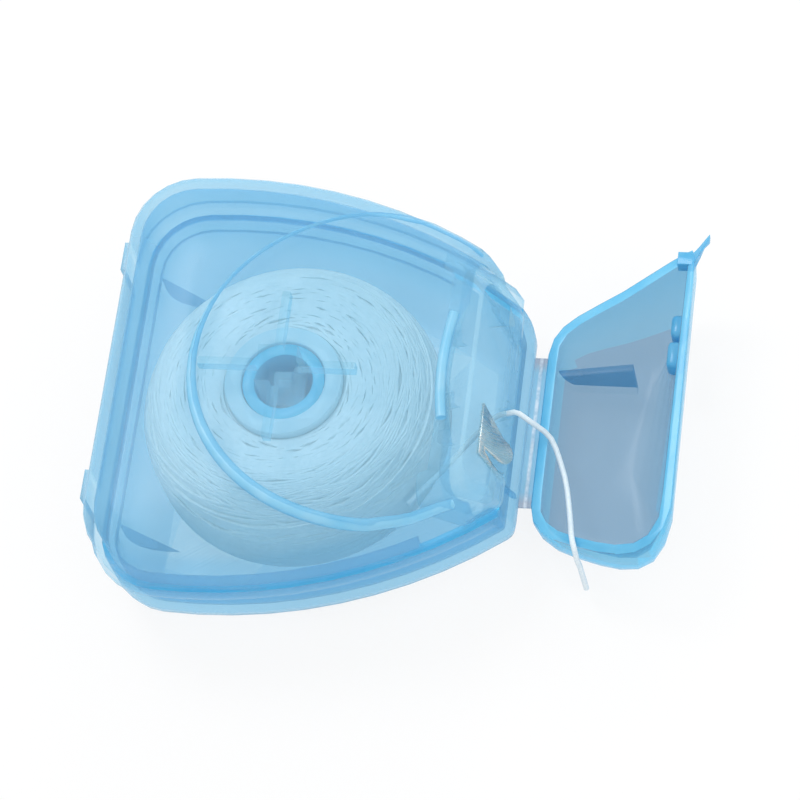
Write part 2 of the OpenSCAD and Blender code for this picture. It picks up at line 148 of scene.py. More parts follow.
def node_copy(node, name, edge):
    """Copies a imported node, merges its triangles and rounds its sharp edges."""
    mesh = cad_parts[node].data.copy()
    obj = bpy.data.objects.new(name, mesh)
    mesh.name = name
    bpy.context.collection.objects.link(obj)
    start_edit(obj, "EDGE")
    bpy.ops.mesh.customdata_custom_splitnormals_clear()
    bpy.ops.mesh.select_all(action="SELECT")
    bpy.ops.mesh.remove_doubles(threshold=SAME_POINT * MM)
    bpy.ops.mesh.dissolve_limited(angle_limit=math.radians(FLAT_JOIN))
    if edge:
        bpy.ops.mesh.select_all(action="DESELECT")
        bpy.ops.mesh.edges_select_sharp(sharpness=math.radians(SHARP))
        bpy.ops.mesh.bevel(offset=edge * MM, segments=2, clamp_overlap=True)
    end_edit()
    soften(obj)
    return obj


def rounded_block(name, centre, size, bevel):
    """A small moulded block: a cube at its size and place, with rounded edges, all in millimetres."""
    pick_none()
    bpy.ops.mesh.primitive_cube_add(size=1, location=[c * MM for c in centre])
    obj = bpy.context.object
    obj.scale = [s * MM for s in size]
    obj.name = name
    settle(obj)
    start_edit(obj, "EDGE")
    bpy.ops.mesh.select_all(action="SELECT")
    bpy.ops.mesh.bevel(offset=bevel * MM, segments=3, clamp_overlap=True)
    end_edit()
    return obj


def round_curve(name, half_width, resolution):
    """A curve with a round section and closed ends, its half width in metres, with no route yet."""
    curve = bpy.data.curves.new(name, "CURVE")
    curve.dimensions = "3D"
    curve.bevel_depth = half_width
    curve.bevel_resolution = resolution
    curve.use_fill_caps = True
    return curve


def add_route(curve, route):
    """Adds a route in millimetres to a curve, as one open spline."""
    spline = curve.splines.new("POLY")
    spline.points.add(len(route) - 1)
    for point, place in zip(spline.points, route):
        point.co = (*[c * MM for c in place], 1)
    return spline


def curve_mesh(name, curve):
    """Turns a curve into a smooth mesh piece."""
    obj = bpy.data.objects.new(name, curve)
    bpy.context.collection.objects.link(obj)
    make_active(obj)
    bpy.ops.object.convert(target="MESH")
    obj = bpy.context.object
    soften(obj, STRAND_CREASE)
    return obj


def strands(name, routes, diameter, sides):
    """Round strands along routes in millimetres, as one mesh."""
    curve = round_curve(name, diameter / 2 * MM, max(0, sides // 2 - 2))
    for route in routes:
        add_route(curve, route)
    return curve_mesh(name, curve)


def bead(name, route, widths):
    """A rounded bead along a route in millimetres, with a half width for each point."""
    curve = round_curve(name, MM, 3)
    spline = add_route(curve, route)
    for point, width in zip(spline.points, widths):
        point.radius = width
    return curve_mesh(name, curve)


def face_height(obj, x, y):
    """Height of an object's highest face at a place, all in millimetres, or None past its edge."""
    hit, spot, _, _ = obj.ray_cast((x * MM, y * MM, 0.1), (0, 0, -1))
    return spot.z / MM if hit else None


def give(obj, body, slot, *materials):
    """Gives a finished piece its body, or None where two bodies bend it, and its materials. The slot argument
    is not used.
    """
    places = [face.material_index for face in obj.data.polygons]
    obj.data.materials.clear()
    for material in materials:
        obj.data.materials.append(material)
    for face, place in zip(obj.data.polygons, places):
        face.material_index = min(place, len(materials) - 1)
    if body:
        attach(obj, body)
    return obj


def mark_faces(obj, index, test):
    """Sets the material index of the faces that pass a test."""
    for face in obj.data.polygons:
        if test(face.center, face.normal):
            face.material_index = index


# Tools for materials


PLASTIC_IOR = 1.48
SATIN = 0.16

# Share of gloss on clear plastic, seen straight on and at a slant
GLOSS_STRAIGHT = 0.035
GLOSS_SLANT = 0.85

# How much of the tint a shadow loses
SHADOW_CLEAR = 0.75


class Nodes:
    """A material's node tree, filled step by step."""

    def __init__(self, name):
        self.material = bpy.data.materials.new(name)
        self.material.use_nodes = True
        self.tree = self.material.node_tree
        self.tree.nodes.clear()
        self.out = self.add("ShaderNodeOutputMaterial")
        self.place = self.add("ShaderNodeTexCoord")

    def add(self, kind, inputs=None, **values):
        """Adds a node, sets its values, and sets or links its inputs."""
        node = self.tree.nodes.new(kind)
        for key, value in values.items():
            setattr(node, key, value)
        for key, value in (inputs or {}).items():
            if isinstance(value, bpy.types.NodeSocket):
                self.tree.links.new(value, node.inputs[key])
            else:
                node.inputs[key].default_value = value
        return node

    def noise(self, scale, detail=3.0, vector=None):
        """Noise in the piece's own coordinates."""
        source = vector or self.place.outputs["Object"]
        node = self.add("ShaderNodeTexNoise", {"Vector": source, "Scale": scale, "Detail": detail})
        return node.outputs["Fac"]

    def span(self, value, low, high, to_low, to_high):
        """Carries a value from one range to another, and holds it there."""
        return self.add("ShaderNodeMapRange", {
            "Value": value, "From Min": low, "From Max": high, "To Min": to_low, "To Max": to_high},
            clamp=True).outputs["Result"]

    def mix(self, factor, a, b):
        """Mixes two colours."""
        node = self.tree.nodes.new("ShaderNodeMix")
        node.data_type = "RGBA"
        for key, value in ((0, factor), (6, a), (7, b)):
            if isinstance(value, bpy.types.NodeSocket):
                self.tree.links.new(value, node.inputs[key])
            else:
                node.inputs[key].default_value = value
        return node.outputs[2]

    def bump(self, height, strength, distance, normal=None):
        """A bump from a height, on top of another where one is given."""
        inputs = {"Height": height, "Strength": strength, "Distance": distance}
        if normal:
            inputs["Normal"] = normal
        return self.add("ShaderNodeBump", inputs).outputs["Normal"]

    def blend(self, factor, a, b):
        """Mixes two shaders."""
        return self.add("ShaderNodeMixShader", {0: factor, 1: a, 2: b}).outputs[0]

    def end(self, shader):
        """Links the surface and gives the material."""
        self.tree.links.new(shader, self.out.inputs["Surface"])
        return self.material


def rgba(colour):
    """A colour with full alpha."""
    return (*colour[:3], 1.0)


def clear_plastic(name, face_tint, edge_tint, haze, haze_colour):
    """Clear tinted plastic: tinted see-through, denser at the edges, a little milky, with gloss."""
    n = Nodes(name)
    facing = n.add("ShaderNodeLayerWeight", {"Blend": 0.42}).outputs["Facing"]
    slow = n.noise(95, 2)
    fine = n.noise(2600, 2)
    edge = n.span(facing, 0.1, 0.85, 0.0, 1.0)
    tint = n.mix(edge, rgba(face_tint), rgba(edge_tint))
    normal = n.bump(slow, 0.22, 0.5 * MM)
    normal = n.bump(fine, 0.06, 0.02 * MM, normal)
    roughness = n.span(slow, 0.3, 0.7, SATIN * 0.8, SATIN * 1.3)
    shadow = n.add("ShaderNodeLightPath").outputs["Is Shadow Ray"]
    share = n.add("ShaderNodeMath", {0: shadow, 1: SHADOW_CLEAR}, operation="MULTIPLY").outputs[0]
    see = n.add("ShaderNodeBsdfTransparent", {"Color": n.mix(share, tint, (1, 1, 1, 1))}).outputs[0]
    milk = n.add("ShaderNodeBsdfPrincipled", {
        "Base Color": rgba(haze_colour), "Roughness": roughness, "IOR": PLASTIC_IOR,
        "Normal": normal}).outputs[0]
    gloss = n.add("ShaderNodeBsdfPrincipled", {
        "Base Color": rgba(haze_colour), "Roughness": roughness, "IOR": PLASTIC_IOR,
        "Specular IOR Level": 0.9, "Normal": normal}).outputs[0]
    cloud = n.span(slow, 0.25, 0.75, haze * 0.8, haze * 1.2)
    body = n.blend(cloud, see, milk)
    slant = n.add("ShaderNodeLayerWeight", {"Blend": 0.5, "Normal": normal}).outputs["Facing"]
    steep = n.add("ShaderNodeMath", {0: slant, 1: 4.0}, operation="POWER").outputs[0]
    sheen = n.span(steep, 0.0, 1.0, GLOSS_STRAIGHT, GLOSS_SLANT)
    return n.end(n.blend(sheen, body, gloss))


def glowing_edge(name, colour, deep, clear=0.35):
    """Painted glow on the end face of a wall: a solid colour standing in for the light that runs along inside
    the plastic and comes out there.
    """
    n = Nodes(name)
    patches = n.noise(240, 2)
    tone = n.mix(n.span(patches, 0.3, 0.7, 0.0, 1.0), rgba(colour), rgba(deep))
    normal = n.bump(n.noise(1500, 2), 0.08, 0.02 * MM)
    solid = n.add("ShaderNodeBsdfPrincipled", {
        "Base Color": tone, "Roughness": 0.2, "IOR": PLASTIC_IOR, "Normal": normal}).outputs[0]
    pale = [(1 + channel) / 2 for channel in colour]
    see = n.add("ShaderNodeBsdfTransparent", {"Color": rgba(pale)}).outputs[0]
    return n.end(n.blend(clear, solid, see))


def milky_plastic(name, colour, haze):
    """Milky plastic that lets a little light through."""
    n = Nodes(name)
    slow = n.noise(160, 3)
    tone = n.mix(n.span(slow, 0.3, 0.7, 0.0, 0.35), rgba(colour), (0.9, 0.97, 1.0, 1.0))
    normal = n.bump(slow, 0.1, 0.2 * MM)
    solid = n.add("ShaderNodeBsdfPrincipled", {
        "Base Color": tone, "Roughness": 0.32, "IOR": PLASTIC_IOR, "Normal": normal}).outputs[0]
    see = n.add("ShaderNodeBsdfTransparent", {"Color": rgba(colour)}).outputs[0]
    return n.end(n.blend(haze, see, solid))


def creased_plastic(name, crease_x):
    """Thin clear blue plastic, stressed white along its crease and dull red-grey at its two ends."""
    n = Nodes(name)
    axes = n.add("ShaderNodeSeparateXYZ", {0: n.place.outputs["Object"]})
    across = n.add("ShaderNodeMath", {0: axes.outputs["X"], 1: crease_x}, operation="SUBTRACT").outputs[0]
    across = n.add("ShaderNodeMath", {0: across}, operation="ABSOLUTE").outputs[0]
    along = n.add("ShaderNodeMath", {0: axes.outputs["Y"]}, operation="ABSOLUTE").outputs[0]
    ragged = n.noise(1400, 3)
    crease = n.span(across, 0.12 * MM, 0.3 * MM, 0.9, 0.0)
    crease = n.add("ShaderNodeMath", {0: crease, 1: n.span(ragged, 0.3, 0.6, 0.5, 1.0)},
                   operation="MULTIPLY").outputs[0]
    ends = n.span(along, 7.6 * MM, 9.0 * MM, 0.0, 0.8)
    tone = n.mix(ends, (0.34, 0.72, 0.94, 1.0), (0.62, 0.42, 0.46, 1.0))
    tone = n.mix(crease, tone, (0.92, 0.97, 1.0, 1.0))
    normal = n.bump(ragged, 0.3, 0.05 * MM)
    solid = n.add("ShaderNodeBsdfPrincipled", {
        "Base Color": tone, "Roughness": 0.35, "IOR": PLASTIC_IOR, "Normal": normal}).outputs[0]
    see = n.add("ShaderNodeBsdfTransparent", {"Color": (0.70, 0.88, 0.96, 1.0)}).outputs[0]
    return n.end(n.blend(n.span(crease, 0.0, 0.9, 0.45, 0.9), see, solid))


def brushed_steel(name, colour):
    """Stamped steel with fine brushing and a few scratches."""
    n = Nodes(name)
    turned = n.add("ShaderNodeMapping", {
        "Vector": n.place.outputs["Object"], "Rotation": (0.0, 0.5, 0.35),
        "Scale": (400, 9000, 400)}).outputs[0]
    lines = n.noise(1.0, 4, turned)
    spots = n.noise(900, 3)
    tone = n.mix(n.span(spots, 0.4, 0.75, 0.0, 0.3), rgba(colour), (0.5, 0.49, 0.48, 1.0))
    rough = n.span(lines, 0.3, 0.7, 0.16, 0.34)
    normal = n.bump(lines, 0.06, 0.02 * MM)
    steel = n.add("ShaderNodeBsdfPrincipled", {
        "Base Color": tone, "Metallic": 1.0, "Roughness": rough, "Normal": normal}).outputs[0]
    return n.end(steel)


def floss_fibre(name, colour, shade, scale):
    """White waxed filament with fine fibres along it."""
    n = Nodes(name)
    fibres = n.noise(scale, 4)
    bands = n.noise(scale * 0.12, 2)
    tone = n.mix(n.span(fibres, 0.35, 0.7, 0.0, 1.0), rgba(colour), rgba(shade))
    tone = n.mix(n.span(bands, 0.3, 0.75, 0.0, 0.5), tone, rgba(shade))
    normal = n.bump(fibres, 0.35, 0.05 * MM)
    thread = n.add("ShaderNodeBsdfPrincipled", {
        "Base Color": tone, "Roughness": 0.5, "IOR": 1.45, "Normal": normal,
        "Sheen Weight": 0.25, "Sheen Roughness": 0.4}).outputs[0]
    return n.end(thread)


def paper_floor(name, colour, shown):
    """A plain pale floor that shows near white and keeps the object's shadow."""
    n = Nodes(name)
    grain = n.noise(30, 2)
    tone = n.mix(n.span(grain, 0.3, 0.7, 0.0, 0.03), rgba(colour), (0.8, 0.8, 0.8, 1.0))
    base = n.add("ShaderNodeBsdfPrincipled", {"Base Color": tone, "Roughness": 0.9}).outputs[0]
    lit = n.add("ShaderNodeEmission", {"Color": (1, 1, 1, 1), "Strength": 1.0}).outputs[0]
    path = n.add("ShaderNodeLightPath")
    seen = n.add("ShaderNodeMath", {0: path.outputs["Is Camera Ray"], 1: path.outputs["Is Glossy Ray"]},
                 operation="MAXIMUM").outputs[0]
    seen = n.add("ShaderNodeMath", {0: seen, 1: path.outputs["Is Transmission Ray"]},
                 operation="MAXIMUM").outputs[0]
    share = n.add("ShaderNodeMath", {0: seen, 1: shown}, operation="MULTIPLY").outputs[0]
    return n.end(n.blend(share, base, lit))


# Settings


class CaseSettings(bpy.types.PropertyGroup):
    """Colours and edges of the case."""

    tint: FloatVectorProperty(name="Tint", description="Colour that one wall face lets through",
                              subtype="COLOR", size=3, default=(0.84, 0.92, 0.96))
    edge_tint: FloatVectorProperty(name="Edge tint", description="Colour let through at a slant",
                                   subtype="COLOR", size=3, default=(0.56, 0.82, 0.95))
    milk: FloatVectorProperty(name="Milk", description="Colour of the haze in the plastic", subtype="COLOR",
                              size=3, default=(0.42, 0.76, 0.95))
    haze: FloatProperty(name="Haze", description="Share of milky plastic", default=0.11, min=0, max=1)
    rear_tint: FloatVectorProperty(name="Rear tint", description="Colour that one rear wall lets through",
                                   subtype="COLOR", size=3, default=(0.64, 0.82, 0.925))
    edge: FloatProperty(name="Edge rounding", description="Bevel on sharp edges, in millimetres",
                        default=0.12)


class LidSettings(bpy.types.PropertyGroup):
    """Colours of the lid."""

    tint: FloatVectorProperty(name="Panel tint", description="Colour that the panel lets through",
                              subtype="COLOR", size=3, default=(0.56, 0.69, 0.79))
    wall: FloatVectorProperty(name="Wall tint", description="Colour that the walls let through",
                              subtype="COLOR", size=3, default=(0.56, 0.85, 0.97))
    # The rim's colour is a painted glow, a solid colour for the light that runs along inside the lid's wall
    # and comes out at its end face
    rim: FloatVectorProperty(name="Rim", description="Colour of the rim's end face", subtype="COLOR",
                             size=3, default=(0.12, 0.55, 0.86))


class ReelSettings(bpy.types.PropertyGroup):
    """Sizes of the winding's strands."""

    strand: FloatProperty(name="Strand", description="Diameter of a strand, in millimetres",
                          default=0.5, min=0.3)
    face_strands: IntProperty(name="Top strands", description="Strands laid over the top", default=280)
    turns: IntProperty(name="Side strands", description="Pairs of strands laid round the side", default=22)
    seed: IntProperty(name="Seed", description="Seed of the strands' lay", default=7)


class FlossSettings(bpy.types.PropertyGroup):
    """Sizes of the floss that is drawn out."""

    diameter: FloatProperty(name="Diameter", description="Width of the floss", default=0.00066, unit="LENGTH")
    length: FloatProperty(name="Length", description="Free length outside the exit", default=0.0302,
                          unit="LENGTH")


class StageSettings(bpy.types.PropertyGroup):
    """Camera, lamps and floor."""

    distance: FloatProperty(name="Distance", description="Camera distance from its target", default=0.4,
                            unit="LENGTH")
    lens: FloatProperty(name="Lens", description="Focal length in millimetres", default=156.6)
    key: FloatProperty(name="Key lamp", description="Power of the key lamp, in watts", default=0.65)
    fill: FloatProperty(name="World", description="Strength of the world's light", default=0.8)


GROUPS = {
    "floss_case": CaseSettings,
    "floss_lid": LidSettings,
    "floss_reel": ReelSettings,
    "floss_thread": FlossSettings,
    "floss_stage": StageSettings,
}


# Operators


# The view's right, up and back directions, and the point it looks at
VIEW_RIGHT = Vector((0.9806, 0.1219, -0.1529))
VIEW_UP = Vector((-0.0421, 0.8951, 0.4439))
VIEW_BACK = Vector((0.1909, -0.4289, 0.8829))
VIEW_TARGET = Vector((12.14, 1.87, 8.37)) * MM
SENSOR_WIDTH = 36
CLIP_NEAR = 0.01
CLIP_FAR = 10

FLOOR_SIZE = 3
FLOOR_COLOUR = (0.9, 0.9, 0.9)
FLOOR_SHOWN = 0.85

# Name, place and size of each lamp in metres, and its share of the key lamp's power
LAMPS = (
    ("key_lamp", (-0.16, 0.16, 0.42), 0.16, 1.0),
    ("side_lamp", (0.34, -0.20, 0.30), 0.22, 0.5),
    ("back_lamp", (0.05, 0.38, 0.22), 0.20, 0.5),
)


def add_camera(scene, distance, lens):
    """The camera, at the photograph's angle."""
    pick_none()
    bpy.ops.object.camera_add()
    camera = bpy.context.object
    camera.name = "camera"
    turn = Matrix((VIEW_RIGHT, VIEW_UP, VIEW_BACK)).transposed().to_4x4()
    camera.matrix_world = Matrix.Translation(VIEW_TARGET + VIEW_BACK * distance) @ turn
    camera.data.lens = lens
    camera.data.sensor_width = SENSOR_WIDTH
    camera.data.clip_start = CLIP_NEAR
    camera.data.clip_end = CLIP_FAR
    scene.camera = camera


def add_floor():
    """The plain floor that the dispenser lies on."""
    pick_none()
    bpy.ops.mesh.primitive_plane_add(size=FLOOR_SIZE, location=(0, 0, 0))
    floor = bpy.context.object
    floor.name = "floor"
    floor.data.materials.append(paper_floor("pale floor", FLOOR_COLOUR, FLOOR_SHOWN))


def add_lamps(power):
    """Soft square lamps that face the dispenser."""
    for name, place, size, share in LAMPS:
        pick_none()
        bpy.ops.object.light_add(type="AREA", location=place)
        lamp = bpy.context.object
        lamp.name = name
        lamp.data.size = size
        lamp.data.energy = power * share
        lamp.rotation_euler = (VIEW_TARGET - Vector(place)).to_track_quat("-Z", "Y").to_euler()


def add_world(scene, strength):
    """Soft white light all round, which shows as white behind the dispenser and through it."""
    world = bpy.data.worlds.new("studio")
    scene.world = world
    world.use_nodes = True
    tree = world.node_tree
    tree.nodes.clear()
    soft = tree.nodes.new("ShaderNodeBackground")
    soft.inputs["Strength"].default_value = strength
    white = tree.nodes.new("ShaderNodeBackground")
    white.inputs["Strength"].default_value = 1.0
    for node in (soft, white):
        node.inputs["Color"].default_value = (1, 1, 1, 1)
    path = tree.nodes.new("ShaderNodeLightPath")
    either = tree.nodes.new("ShaderNodeMath")
    either.operation = "MAXIMUM"
    mixed = tree.nodes.new("ShaderNodeMixShader")
    out = tree.nodes.new("ShaderNodeOutputWorld")
    tree.links.new(path.outputs["Is Camera Ray"], either.inputs[0])
    tree.links.new(path.outputs["Is Transmission Ray"], either.inputs[1])
    tree.links.new(either.outputs[0], mixed.inputs[0])
    tree.links.new(soft.outputs[0], mixed.inputs[1])
    tree.links.new(white.outputs[0], mixed.inputs[2])
    tree.links.new(mixed.outputs[0], out.inputs["Surface"])


class DISPENSER_OT_stage(bpy.types.Operator):
    """Adds the camera, the floor, the lamps and the world"""

    bl_idname = "dispenser.stage"
    bl_label = "Stage"

    def execute(self, context):
        s = context.scene.floss_stage
        add_camera(context.scene, s.distance, s.lens)
        add_floor()
        add_lamps(s.key)
        add_world(context.scene, s.fill)
        context.scene.view_settings.view_transform = "Standard"
        return {"FINISHED"}


# Routes of the floss, in millimetres: its free end from the exit, and the stretch inside the case
TAIL_ROUTE = (
    (25.2, 0.2, 9.6), (25.8, 0.2, 9.9), (26.4, 0, 10), (27.1, -0.4, 9.8), (27.8, -0.7, 9.3),
    (28.5, -0.9, 8.6), (29.2, -1.1, 7.8), (29.9, -1.6, 7.1), (30.5, -2.6, 6.5), (31.1, -4, 6),
    (31.7, -5.6, 5.7), (32.2, -7.4, 5.7), (32.6, -9.2, 6.1), (33, -11, 6.9), (33.4, -12.8, 8),
    (33.7, -14.2, 9), (34, -15.3, 9.4), (34.3, -16.2, 9.1), (34.5, -16.8, 8), (34.7, -17, 6.5),
    (34.8, -17.2, 5), (34.9, -17.4, 3.5), (35, -17.6, 1.9),
)
LEAD_ROUTE = (
    (14.7, -11.3, 8.6), (16.3, -9.2, 8.6), (17.9, -7.3, 8.6), (19.4, -5.2, 8.6), (20.9, -3.1, 8.6),
    (22, -1.6, 8.6), (22.8, -0.6, 8.6), (23.4, -0.1, 8.8), (24, 0.2, 9), (24.6, 0.2, 9.3), (25.2, 0.2, 9.6),
)
FLOSS_SIDES = 10


class DISPENSER_OT_floss(bpy.types.Operator):
    """Adds the floss from the winding to the exit and its free end"""

    bl_idname = "dispenser.floss"
    bl_label = "Floss"

    def execute(self, context):
        s = context.scene.floss_thread
        white = floss_fibre("floss thread", (0.86, 0.93, 0.95), (0.66, 0.78, 0.86), 5200)
        lead = strands("floss_inner", [LEAD_ROUTE], s.diameter / MM, FLOSS_SIDES)
        give(lead, "case", "floss", white)
        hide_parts("floss_lead")
        tail = strands("floss_end", [TAIL_ROUTE], s.diameter / MM, FLOSS_SIDES)
        give(tail, None, "floss", white)
        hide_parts("floss_tail")
        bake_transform(tail)
        return {"FINISHED"}


# Hinge line, as X and Z, and the slope of the plane that the shut lid's rim rests on, in degrees
HINGE = (27.95, 6)
CLOSE_SLOPE = 65.5

# Oval field on the front face: its middle along X, its half length and its half width
OVAL_X = 12.2
OVAL_A = 21.6
OVAL_B = 19.4

# Bead on the oval's edge: where round the oval it runs and is widest, and where it may taper, in degrees
RIDGE_START = 60
RIDGE_END = 300
RIDGE_STEP = 4
RIDGE_WIDEST = 245
TAPER_FROM = 75
TAPER_OVER = 45

# Share of its half width that the oval has lost after the taper
TAPER_SHARE = 0.14

# Half widths of the bead, its seat on the face, and the height below which it leaves the face
RIDGE_THIN = 0.22
RIDGE_SWELL = 0.58
RIDGE_OUTSIDE = 0.4
RIDGE_LIFT = 0.25
RIDGE_SINK = 0.7
RIDGE_LOW = 16.5

# Scooped end of the front face: middle and radius of its arc
SCOOP_X = 54
SCOOP_R = 34

# Bead on the scoop's edge: its half length across, its steps each way, and its place and half width
SCOOP_HALF = 15
SCOOP_STEPS = 30
SCOOP_INSET = 0.8
SCOOP_SINK = 0.25
SCOOP_WIDTH = 0.6

# How far that bead stays short of the plane of the shut lid's rim
SCOOP_CLEAR = 0.8

# Spaces that hold the hub post and the spindle
HUB_LOW = 10.52
HUB_HIGH = 19.95
HUB_R = 9.3
SPINDLE_LOW = 2.2
SPINDLE_R = 4.9

# How near a face's middle has to lie to the surface that it is part of
FACE_PLAY = 0.25


def oval_ridge_route(front):
    """The edge of the oval field, up to the scoop at both ends, widest at the near left."""
    route, widths = [], []
    for degrees in range(RIDGE_START, RIDGE_END + 1, RIDGE_STEP):
        t = math.radians(degrees)
        taper = max(0, abs(degrees - 180) - TAPER_FROM) / TAPER_OVER
        half = OVAL_B * (1 - TAPER_SHARE * taper ** 2)
        x, y = OVAL_X + OVAL_A * math.cos(t), half * math.sin(t)
        foot = face_height(front, x + RIDGE_OUTSIDE * math.cos(t), y + RIDGE_OUTSIDE * math.sin(t))
        if foot and foot > RIDGE_LOW:
            wide = RIDGE_THIN + RIDGE_SWELL * max(0.0, math.cos(t - math.radians(RIDGE_WIDEST)))
            route.append((x, y, foot + RIDGE_LIFT - RIDGE_SINK * wide))
            widths.append(wide)
    return route, widths


def past_lid_plane(x, z):
    """How far a place lies past the plane that the shut lid's rim rests on, in millimetres."""
    slope = math.radians(CLOSE_SLOPE)
    return (x - HINGE[0]) * math.sin(slope) + (z - HINGE[1]) * math.cos(slope)


def scoop_edge_route(front):
    """The edge of the scooped end, as far as it stays clear of the shut lid."""
    route, widths = [], []
    for step in range(-SCOOP_STEPS, SCOOP_STEPS + 1):
        y = step * SCOOP_HALF / SCOOP_STEPS
        x = SCOOP_X - math.sqrt(SCOOP_R ** 2 - y ** 2) - SCOOP_INSET
        top = face_height(front, x, y)
        if top and past_lid_plane(x, top) < -SCOOP_CLEAR:
            route.append((x, y, top - SCOOP_SINK))
            widths.append(SCOOP_WIDTH)
    return route, widths


def on_hub_post(centre, normal):
    """Whether a face of the front shell is part of its hub post or the ribs round it."""
    return HUB_LOW * MM < centre.z < HUB_HIGH * MM and math.hypot(centre.x, centre.y) < HUB_R * MM


def on_scoop_wall(centre, normal):
    """Whether a face of the front shell is part of the scoop's upright end wall."""
    radius = math.hypot(centre.x / MM - SCOOP_X, centre.y / MM)
    return abs(radius - SCOOP_R) < FACE_PLAY and abs(normal.z) < 0.3


def on_spindle(centre, normal):
    """Whether a face of the rear shell is part of its spindle."""
    return centre.z > SPINDLE_LOW * MM and math.hypot(centre.x, centre.y) < SPINDLE_R * MM


class DISPENSER_OT_case(bpy.types.Operator):
    """Adds the front and rear shells, the oval's ridge and the scoop's edge"""

    bl_idname = "dispenser.case"
    bl_label = "Case"

    def execute(self, context):
        s = context.scene.floss_case
        shell = clear_plastic("clear blue shell", s.tint, s.edge_tint, s.haze, s.milk)
        back = clear_plastic("clear blue rear", s.rear_tint, s.edge_tint, s.haze, s.milk)
        # The scoop's end wall and the hub post get a painted glow, a solid colour for the light that runs
        # along inside the plastic
        glow = glowing_edge("shell edge painted glow", (0.62, 0.91, 1.0), (0.48, 0.84, 1.0), clear=0.72)
        front = node_copy("front_shell", "case_front", s.edge)
        give(front, "case", "clear_blue", shell, glow)
        mark_faces(front, 1, on_hub_post)
        mark_faces(front, 1, on_scoop_wall)
        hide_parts("front_shell")
        # The beads on the oval's ridge and the scoop's edge get a painted glow in saturated cyan
        ridge_light = glowing_edge("ridge light", (0.30, 0.74, 0.96), (0.48, 0.84, 0.98), clear=0.45)
        ridge = bead("oval_ridge", *oval_ridge_route(front))
        give(ridge, "case", "clear_blue", ridge_light)
        scoop = bead("scoop_edge", *scoop_edge_route(front))
        give(scoop, "case", "clear_blue", ridge_light)
        rear = node_copy("rear_shell", "case_rear", s.edge)
        # The spindle shows the deep blue of thick plastic, with a painted glow on top
        spindle = glowing_edge("spindle blue and glow", (0.06, 0.70, 1.0), (0.12, 0.76, 1.0), clear=0.25)
        give(rear, "case", "clear_blue", back, spindle)
        mark_faces(rear, 1, on_spindle)
        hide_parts("rear_shell")
        return {"FINISHED"}


# Edge rounding of the smaller mouldings and of the cutter, in millimetres
MOULDING_EDGE = 0.1
CUTTER_EDGE = 0.05
CORE_EDGE = 0.25


class DISPENSER_OT_outlet(bpy.types.Operator):
    """Adds the outlet insert and the steel cutter"""

    bl_idname = "dispenser.outlet"
    bl_label = "Outlet and cutter"

    def execute(self, context):
        plastic = clear_plastic("insert blue", face_tint=(0.90, 0.965, 0.99), edge_tint=(0.70, 0.90, 0.985),
                                haze=0.13, haze_colour=(0.64, 0.90, 1.0))
        insert = node_copy("outlet_insert", "outlet_panel", MOULDING_EDGE)
        give(insert, "case", "insert_blue", plastic)
        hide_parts("outlet_insert")
        steel = brushed_steel("bright steel", (0.97, 0.90, 0.83))
        blade = node_copy("cutter", "cutter_blade", CUTTER_EDGE)
        give(blade, "case", "steel", steel)
        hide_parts("cutter")
        return {"FINISHED"}


WEB_LOW, WEB_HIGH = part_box("living_hinge")

# Rows of the hinge web across its fold and along it
WEB_ROWS = 12
WEB_COLUMNS = 24

# Open lid: the slope of its rim, in degrees, the middle of its bowl along X, and its outer wall's least reach
RIM_SLOPE = 22
BOWL_X = 36
WALL_REACH = 5

# Places and sizes of the lid's latch lugs
LUGS = (
    ((43.2, 13.2, 6.6), (1.7, 2.8, 2.6)),
    ((43.1, 9.7, 6.2), (1.9, 3.4, 2.6)),
)
LUG_BEVEL = 0.6

# Thumb tab: its first block, then each step out with the share that the tip shrinks to
TAB_PLACE = (43.9, 19.3, 11.9)
TAB_SIZE = (1.8, 1.6, 1.7)
TAB_STEPS = (
    ((0.6, 0.6, 0.6), 0.85),
    ((0.7, 0.9, 0.8), 0.8),
    ((0.5, 0.7, 0.6), 0.75),
)
TAB_TIP = 0.35
TAB_BEVEL = 0.2
TAB_CREASE = 50


def hinge_web():
    """The thin web between the case and the lid: a sheet with enough rows to fold."""
    size = [high - low for low, high in zip(WEB_LOW, WEB_HIGH)]
    pick_none()
    bpy.ops.mesh.primitive_grid_add(x_subdivisions=WEB_ROWS, y_subdivisions=WEB_COLUMNS, size=1)
    web = bpy.context.object
    web.name = "hinge_web"
    web.scale = (size[0], size[1], 1)
    web.location = [(low + high) / 2 for low, high in zip(WEB_LOW, WEB_HIGH)]
    settle(web)
    apply_modifier(web, "SOLIDIFY", thickness=size[2], offset=0)
    soften(web)
    return web


def thumb_tab():
    """The lid's far corner drawn out into a small tab for the thumb."""
    tab = rounded_block("lid_thumb_tab", TAB_PLACE, TAB_SIZE, bevel=0.0)
    for move, shrink in TAB_STEPS:
        start_edit(tab)
        far = max(vertex.co.x for vertex in tab.data.vertices)
        select_faces(tab, lambda c, n: c.x > far - TAB_TIP * MM and n.x > 0.5)
        bpy.ops.mesh.extrude_region_move(TRANSFORM_OT_translate={"value": [m * MM for m in move]})
        end_edit()
        tip = [vertex.co.copy() for vertex in tab.data.vertices if vertex.select]
        centre = sum(tip, Vector()) / len(tip)
        bpy.ops.object.mode_set(mode="EDIT")
        bpy.ops.transform.resize(value=(1, shrink, shrink), center_override=centre)
        end_edit()
    start_edit(tab, "EDGE")
    bpy.ops.mesh.select_all(action="SELECT")
    bpy.ops.mesh.bevel(offset=TAB_BEVEL * MM, segments=2, clamp_overlap=True)
    end_edit()
    soften(tab, TAB_CREASE)
    return tab


def on_lid_wall(centre, normal):
    """Whether a face of the lid is part of the outside of its wall."""
    reach = normal.x * (centre.x / MM - BOWL_X) + normal.y * centre.y / MM
    return abs(normal.z) < 0.8 and reach > WALL_REACH


